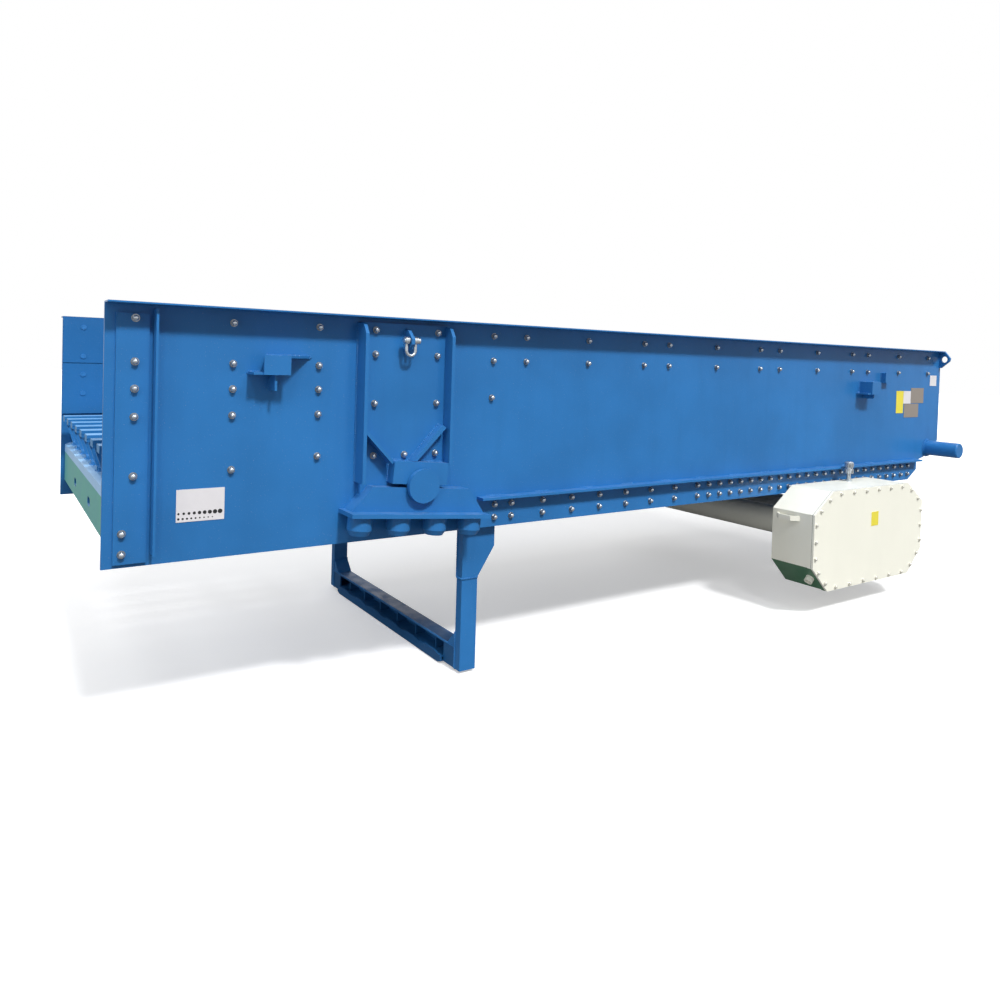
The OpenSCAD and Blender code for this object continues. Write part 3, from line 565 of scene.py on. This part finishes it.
def make_finishes():
    """All finishes of the feeder, by the name that pieces use"""
    colours = paint()
    blue, cream, zinc = tuple(colours.blue), tuple(colours.cream), tuple(colours.zinc)
    dust = work().dust
    creamy = {"gloss": 0.26, "fade": 0.02, "streak": 0.05, "settled": PALE_DUST}
    FINISHES.update(
        blue=gloss_paint("blue_gloss_paint", blue, dust),
        # A darker copy of the blue, as painted shade inside the trough and on the far side
        # plate
        inside=gloss_paint("blue_paint_inside_painted_shade", shade(blue, 0.86), dust, gloss=0.38),
        # A much darker copy of the blue, as painted shade on the U-frame's beam under the
        # machine
        low=gloss_paint("blue_paint_painted_shade", shade(blue, 0.60), 0.0, gloss=0.38),
        cream=gloss_paint("cream_gloss_paint", cream, dust, **creamy),
        # The exciter case carries the painted green floor reflection on its lower chamfer
        case=gloss_paint(
            "cream_case_paint", cream, dust, painted_floor_reflection=(0.05, 0.19, 0.10), **creamy
        ),
        zinc=plated("zinc_plating", zinc),
        bolts=bolt_finish("trough_bolts", shade(zinc, 0.62), blue),
        knurl=knurled("knurled_brass", shade(zinc, 1.1)),
        pale=plated("pale_zinc", (0.80, 0.79, 0.72), rough=0.30, metal=0.40),
        # Discharge beam: paler top as painted light, green painted reflection on the
        # front, painted highlight along the front's top
        beam=beam_paint(
            "beam_paint",
            blue,
            top=(0.30, 0.56, 0.86),
            painted_front_reflection=(0.12, 0.42, 0.31),
            painted_highlight=(0.36, 0.64, 0.97),
            edge=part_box("discharge_beam")[1][2] - HIGHLIGHT_HEIGHT,
        ),
        # Bars: paler tops as painted light, paler fronts as painted reflection
        bars=beam_paint(
            "bar_paint", blue, top=(0.19, 0.43, 0.74), painted_front_reflection=(0.06, 0.25, 0.50)
        ),
        steel=machined("machined_steel", tuple(colours.steel)),
        gasket=rubbery("gasket_sheet", (0.05, 0.05, 0.05)),
        yellow=sheet_face("yellow_sheet", tuple(colours.label_yellow)),
        white=sheet_face("white_sheet", tuple(colours.label_white)),
        grey=sheet_face("grey_sheet", tuple(colours.label_grey)),
        ink=sheet_face("black_ink", (0.015, 0.015, 0.016), sheen=0.5),
    )


FINISH_OF = {
    # Painted shade: these take the darker copy of the blue
    "inside": (
        "side_plate_far",
        "upper_liners",
        "lower_liners",
        "feed_pan",
        "pan_webs",
    ),
    "beam": ("discharge_beam",),
    "bars": ("grizzly_bars",),
    "case": ("exciter_case",),
    # Painted shade: the U-frame's beam takes the much darker blue
    "low": ("frame_beam",),
    "pale": ("cover_bolts",),
    "bolts": ("side_bolts_near", "side_bolts_far"),
    "knurl": ("exciter_breather",),
    "cream": (
        "exciter_cover",
        "exciter_handle",
        "drain_boss",
        "shaft_tubes",
        "exciter_end_box",
        "end_caps",
    ),
    "zinc": ("shackle_near", "shackle_far"),
    "steel": (
        "drive_shaft",
        "idler_shaft",
        "drive_gear",
        "idler_gear",
        "shaft_bearings",
    ),
    "gasket": ("exciter_gasket",),
    "yellow": ("yellow_plates",),
    "white": ("white_plates", "gauge_plate"),
    "grey": ("grey_plates",),
}


# ---------------------------------------------------------------- modelling


def clear_choice():
    bpy.ops.object.select_all(action="DESELECT")


def only(piece):
    clear_choice()
    piece.select_set(True)
    bpy.context.view_layer.objects.active = piece


def joined(name, parts):
    """Joins the parts into one piece, with its place in its mesh"""
    clear_choice()
    for part in parts:
        part.select_set(True)
    bpy.context.view_layer.objects.active = parts[0]
    if len(parts) > 1:
        bpy.ops.object.join()
    piece = bpy.context.view_layer.objects.active
    piece.name = name
    piece.data.name = name
    bpy.ops.object.transform_apply(location=True, rotation=True, scale=True)
    return piece


def dress(piece, finish, body="feeder"):
    """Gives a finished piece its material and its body"""
    piece.data.materials.clear()
    piece.data.materials.append(FINISHES[finish])
    only(piece)
    bpy.ops.object.shade_smooth_by_angle(angle=math.radians(40))
    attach(piece, body)


def bead(start, end, radius, step):
    """A rippled weld bead from start to end"""
    start, end = Vector(start), Vector(end)
    run = end - start
    count = max(1, round(run.length / step))
    clear_choice()
    bpy.ops.mesh.primitive_uv_sphere_add(
        segments=8, ring_count=4, radius=radius, location=start + run / count / 2
    )
    piece = bpy.context.active_object
    if count == 1:
        return piece
    row = piece.modifiers.new("ripples", "ARRAY")
    row.use_relative_offset = False
    row.use_constant_offset = True
    row.constant_offset_displace = run / count
    row.count = count
    bpy.ops.object.modifier_apply(modifier="ripples")
    return piece


def ring_bead(centre, major, radius):
    """A weld bead round a tube that runs along Y"""
    clear_choice()
    bpy.ops.mesh.primitive_torus_add(
        location=centre,
        rotation=(math.radians(-90), 0, 0),
        major_radius=major,
        minor_radius=radius,
        major_segments=72,
        minor_segments=8,
    )
    piece = bpy.context.active_object
    bpy.ops.object.mode_set(mode="EDIT")
    bpy.ops.mesh.select_all(action="SELECT")
    bpy.ops.transform.vertex_random(offset=radius * 0.12, seed=3)
    bpy.ops.object.mode_set(mode="OBJECT")
    return piece


def mirrored(points):
    """The same run on the far side"""
    return [(x, -y, z) for x, y, z in points]


def both(runs):
    """The runs on the near side and on the far side"""
    return list(runs) + [mirrored(run) for run in runs]


def contact_runs(names, plane, axis):
    """Outlines of the faces that the nodes lay flat against a plane"""
    runs = []
    for name in names:
        node = NODES[name]
        corners = [node.matrix_world @ vertex.co for vertex in node.data.vertices]
        corners = [tuple(round(c, 5) for c in corner) for corner in corners]
        met = {}
        for face in node.data.polygons:
            points = [corners[i] for i in face.vertices]
            if all(abs(abs(point[axis]) - plane) < TOUCH for point in points):
                for pair in zip(points, points[1:] + points[:1]):
                    key = tuple(sorted(pair))
                    met[key] = met.get(key, 0) + 1
        runs += [key for key, times in met.items() if times == 1]
    return runs


def bolt_axes(name, reach=0.032):
    """Middle and outer tip of each bolt in a node of bolts"""
    node = NODES[name]
    groups = []
    for vertex in node.data.vertices:
        point = node.matrix_world @ vertex.co
        for group in reversed(groups):
            first = group[0]
            if abs(point.x - first.x) < reach and abs(point.z - first.z) < reach:
                group.append(point)
                break
        else:
            groups.append([point])
    axes = []
    for group in groups:
        xs, zs = [p.x for p in group], [p.z for p in group]
        tip = max((p.y for p in group), key=abs)
        axes.append(((min(xs) + max(xs)) / 2, tip, (min(zs) + max(zs)) / 2))
    return axes


def domes(name, node, radius, height, finish="zinc"):
    """Rounded ends on the nuts of a node of bolts"""
    clear_choice()
    bpy.ops.mesh.primitive_uv_sphere_add(segments=12, ring_count=8, radius=1.0)
    master = bpy.context.active_object
    bpy.ops.object.mode_set(mode="EDIT")
    bpy.ops.mesh.select_all(action="SELECT")
    bpy.ops.mesh.bisect(
        plane_co=(0, 0, 0), plane_no=(0, 0, 1), use_fill=True, clear_inner=True
    )
    bpy.ops.mesh.select_all(action="SELECT")
    bpy.ops.transform.resize(
        value=(radius, radius, height), center_override=(0, 0, 0)
    )
    bpy.ops.object.mode_set(mode="OBJECT")
    parts = []
    for x, tip, z in bolt_axes(node):
        only(master)
        bpy.ops.object.duplicate()
        dome = bpy.context.active_object
        dome.location = (x, tip - math.copysign(height * DOME_SINK, tip), z)
        dome.rotation_euler = (math.copysign(math.radians(90), -tip), 0, 0)
        parts.append(dome)
    only(master)
    bpy.ops.object.delete()
    dress(joined(name, parts), finish)


def weld_piece(name, runs):
    """One piece of painted, slightly uneven weld beads"""
    size, step = work().weld_radius, work().weld_step
    piece = joined(name, [bead(a, b, size, step) for a, b in runs])
    bpy.ops.object.mode_set(mode="EDIT")
    bpy.ops.mesh.select_all(action="SELECT")
    bpy.ops.transform.vertex_random(offset=size * 0.10, seed=5)
    bpy.ops.object.mode_set(mode="OBJECT")
    dress(piece, "blue")


# ---------------------------------------------------------------- operators


class FEEDER_OT_frame_finish(bpy.types.Operator):
    """Give every CAD node of the frame its finish"""

    bl_idname = "feeder.frame_finish"
    bl_label = "Paint the frame"

    def execute(self, context):
        make_finishes()
        finish_of = {node: key for key, names in FINISH_OF.items() for node in names}
        for name, node in NODES.items():
            node.data.materials.clear()
            node.data.materials.append(FINISHES[finish_of.get(name, "blue")])
        return {"FINISHED"}


class FEEDER_OT_plate_welds(bpy.types.Operator):
    """Weld what stands on the side plates and on the bracket panels"""

    bl_idname = "feeder.plate_welds"
    bl_label = "Weld the side plates"

    def execute(self, context):
        on_plate = ("bracket_ribs", "side_brackets", "tube_collars")
        on_panel = (
            "bracket_gussets",
            "trunnion_block_near",
            "trunnion_block_far",
            "lifting_eyes",
        )
        weld_piece(
            "plate_welds",
            contact_runs(on_plate, PLATE_FACE, 1)
            + contact_runs(on_panel, PANEL_FACE, 1),
        )
        margin, stitch, pitch = 0.05, 0.09, 0.30
        (first, _, _), (last, _, top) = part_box("lower_stiffeners")
        stitches = []
        for i in range(int((last - first) / pitch)):
            x = first + margin + i * pitch
            stitches.append([(x, -PLATE_FACE, top), (x + stitch, -PLATE_FACE, top)])
        weld_piece("stiffener_welds", both(stitches))
        return {"FINISHED"}


class FEEDER_OT_frame_welds(bpy.types.Operator):
    """Weld the U-frame, the discharge beam's bars and the exciter's tubes"""

    bl_idname = "feeder.frame_welds"
    bl_label = "Weld the frame"

    def execute(self, context):
        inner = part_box("frame_beam")[1][1]
        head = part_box("frame_posts")[1][2]
        weld_piece(
            "u_frame_welds",
            contact_runs(("frame_beam", "frame_gussets"), inner, 1)
            + contact_runs(("frame_gussets",), abs(head), 2),
        )
        beam_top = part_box("discharge_beam")[1][2]
        weld_piece("bar_welds", contact_runs(("grizzly_bars",), beam_top, 2))
        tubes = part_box("shaft_tubes")
        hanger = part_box("exciter_hanger_near")
        rings = []
        for shaft in ("drive_shaft", "idler_shaft"):
            low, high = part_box(shaft)
            for y in (hanger[1][1], -hanger[1][1]):
                centre = ((low[0] + high[0]) / 2, y, (tubes[0][2] + tubes[1][2]) / 2)
                major = (tubes[1][2] - tubes[0][2]) / 2
                rings.append(ring_bead(centre, major, work().weld_radius))
        dress(joined("tube_welds", rings), "blue")
        return {"FINISHED"}


class FEEDER_OT_nut_domes(bpy.types.Operator):
    """Round off the nuts on the trough and on the exciter cover"""

    bl_idname = "feeder.nut_domes"
    bl_label = "Round the nuts"

    def execute(self, context):
        trough_nut = {"radius": 0.0108, "height": 0.0075}
        cover_nut = {"radius": 0.0088, "height": 0.0050}
        domes("nut_domes_near", "side_bolts_near", **trough_nut)
        domes("nut_domes_far", "side_bolts_far", **trough_nut)
        domes("cover_nut_domes", "cover_bolts", **cover_nut, finish="pale")
        return {"FINISHED"}


class FEEDER_OT_gauge_marks(bpy.types.Operator):
    """Print the rows of plain dots on the gauge plate"""

    bl_idname = "feeder.gauge_marks"
    bl_label = "Mark the gauge plate"

    def execute(self, context):
        (x0, face, z0), (x1, _, z1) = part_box("gauge_plate")
        count, margin = 9, 0.05
        # Height and length of each row as shares of the plate, first and last radius
        rows = ((0.26, 0.86, 0.0042, 0.0090), (0.10, 0.70, 0.0046, 0.0024))
        dots = []
        for i in range(count):
            share = i / (count - 1)
            for height, length, first, last in rows:
                x = x0 + (x1 - x0) * (margin + length * share)
                z = z0 + (z1 - z0) * height
                dots.append((x, z, first + (last - first) * share))
        gap, thickness = 0.0001, 0.0004
        parts = []
        for x, z, radius in dots:
            clear_choice()
            bpy.ops.mesh.primitive_circle_add(
                vertices=24,
                radius=radius,
                fill_type="NGON",
                location=(x, face - gap, z),
                rotation=(math.radians(90), 0, 0),
            )
            bpy.ops.object.mode_set(mode="EDIT")
            bpy.ops.mesh.select_all(action="SELECT")
            bpy.ops.mesh.extrude_region_move(
                TRANSFORM_OT_translate={"value": (0, -thickness, 0)}
            )
            bpy.ops.mesh.select_all(action="SELECT")
            bpy.ops.mesh.normals_make_consistent(inside=False)
            bpy.ops.object.mode_set(mode="OBJECT")
            parts.append(bpy.context.active_object)
        dress(joined("gauge_marks", parts), "ink")
        return {"FINISHED"}


class FEEDER_OT_stage(bpy.types.Operator):
    """Set up the floor, the lamps and the camera"""

    bl_idname = "feeder.stage"
    bl_label = "Set the stage"

    def execute(self, context):
        stage = context.scene.feeder_stage
        low = CAD_BOX[0][2]
        middle = (CAD_BOX[0][0] + CAD_BOX[1][0]) / 2
        clear_choice()
        bpy.ops.mesh.primitive_plane_add(
            size=FLOOR_SIZE, location=(middle, 0, low - FLOOR_GAP)
        )
        floor = bpy.context.active_object
        floor.name = "floor"
        floor.data.materials.append(floor_finish("pale_floor", tuple(stage.floor)))

        world = bpy.data.worlds.new("room")
        context.scene.world = world
        world.use_nodes = True
        nodes, links = world.node_tree.nodes, world.node_tree.links
        lit = nodes["Background"]
        lit.inputs["Color"].default_value = (0.95, 0.98, 1.0, 1.0)
        lit.inputs["Strength"].default_value = stage.sky
        seen = nodes.new("ShaderNodeBackground")
        seen.inputs["Color"].default_value = (1, 1, 1, 1)
        seen.inputs["Strength"].default_value = 1.0
        path = nodes.new("ShaderNodeLightPath")
        share = path.outputs["Is Camera Ray"]
        for ray in ("Is Glossy Ray", "Is Transmission Ray"):
            either = nodes.new("ShaderNodeMath")
            either.operation = "MAXIMUM"
            links.new(share, either.inputs[0])
            links.new(path.outputs[ray], either.inputs[1])
            share = either.outputs[0]
        mix = nodes.new("ShaderNodeMixShader")
        links.new(share, mix.inputs[0])
        links.new(lit.outputs[0], mix.inputs[1])
        links.new(seen.outputs[0], mix.inputs[2])
        links.new(mix.outputs[0], nodes["World Output"].inputs["Surface"])

        def lamp(name, side, height, strength, spread, shine=True):
            """A far, wide lamp, `side` degrees round from -Y toward +X"""
            light = bpy.data.lights.new(name, "SUN")
            light.energy = strength
            light.angle = math.radians(spread)
            holder = bpy.data.objects.new(name, light)
            context.scene.collection.objects.link(holder)
            holder.rotation_euler = (math.radians(90 - height), 0, math.radians(side))
            holder.visible_glossy = shine

        # Shares of the main lamp and of the fill that the other lamps have
        beside, above, end = 0.2, 0.22, 1.8
        lamp("main", 2, 50, stage.key, 7)
        lamp("main_left", -26, 48, stage.key * beside, 12)
        lamp("main_right", 26, 48, stage.key * beside, 12)
        lamp("left_fill", -80, 25, stage.fill * end, 60, shine=False)
        lamp("rear_fill", 165, 40, stage.fill, 50)
        lamp("top_fill", 0, 86, stage.key * above, 40, shine=False)

        view = bpy.data.cameras.new("camera")
        view.sensor_width = 36.0
        view.lens = stage.lens
        view.shift_y = stage.rise
        view.clip_start, view.clip_end = 0.05, 200.0
        camera = bpy.data.objects.new("camera", view)
        context.scene.collection.objects.link(camera)
        camera.location = stage.eye
        camera.rotation_euler = stage.turn
        context.scene.camera = camera
        context.scene.view_settings.view_transform = "Standard"
        return {"FINISHED"}


OPERATORS = (
    FEEDER_OT_frame_finish,
    FEEDER_OT_plate_welds,
    FEEDER_OT_frame_welds,
    FEEDER_OT_nut_domes,
    FEEDER_OT_gauge_marks,
    FEEDER_OT_stage,
)


class FEEDER_PT_looks(bpy.types.Panel):
    """Feeder looks"""

    bl_idname = "FEEDER_PT_looks"
    bl_label = "Feeder"
    bl_space_type = "VIEW_3D"
    bl_region_type = "UI"
    bl_category = "Feeder"

    def draw(self, context):
        layout = self.layout
        for group in (
            context.scene.feeder_paint,
            context.scene.feeder_work,
            context.scene.feeder_stage,
        ):
            for key in group.__annotations__:
                layout.prop(group, key)
        for operator in OPERATORS:
            layout.operator(operator.bl_idname)


GROUPS = {
    "feeder_paint": FeederPaint,
    "feeder_work": FeederWork,
    "feeder_stage": FeederStage,
}


def register():
    for group in GROUPS.values():
        bpy.utils.register_class(group)
    for operator in OPERATORS:
        bpy.utils.register_class(operator)
    bpy.utils.register_class(FEEDER_PT_looks)
    for key, group in GROUPS.items():
        setattr(bpy.types.Scene, key, bpy.props.PointerProperty(type=group))


def unregister():
    for key in GROUPS:
        delattr(bpy.types.Scene, key)
    bpy.utils.unregister_class(FEEDER_PT_looks)
    for operator in reversed(OPERATORS):
        bpy.utils.unregister_class(operator)
    for group in reversed(list(GROUPS.values())):
        bpy.utils.unregister_class(group)


def main():
    register()
    for operator in OPERATORS:
        group, name = operator.bl_idname.split(".")
        getattr(getattr(bpy.ops, group), name)()


if __name__ == "__main__":
    main()
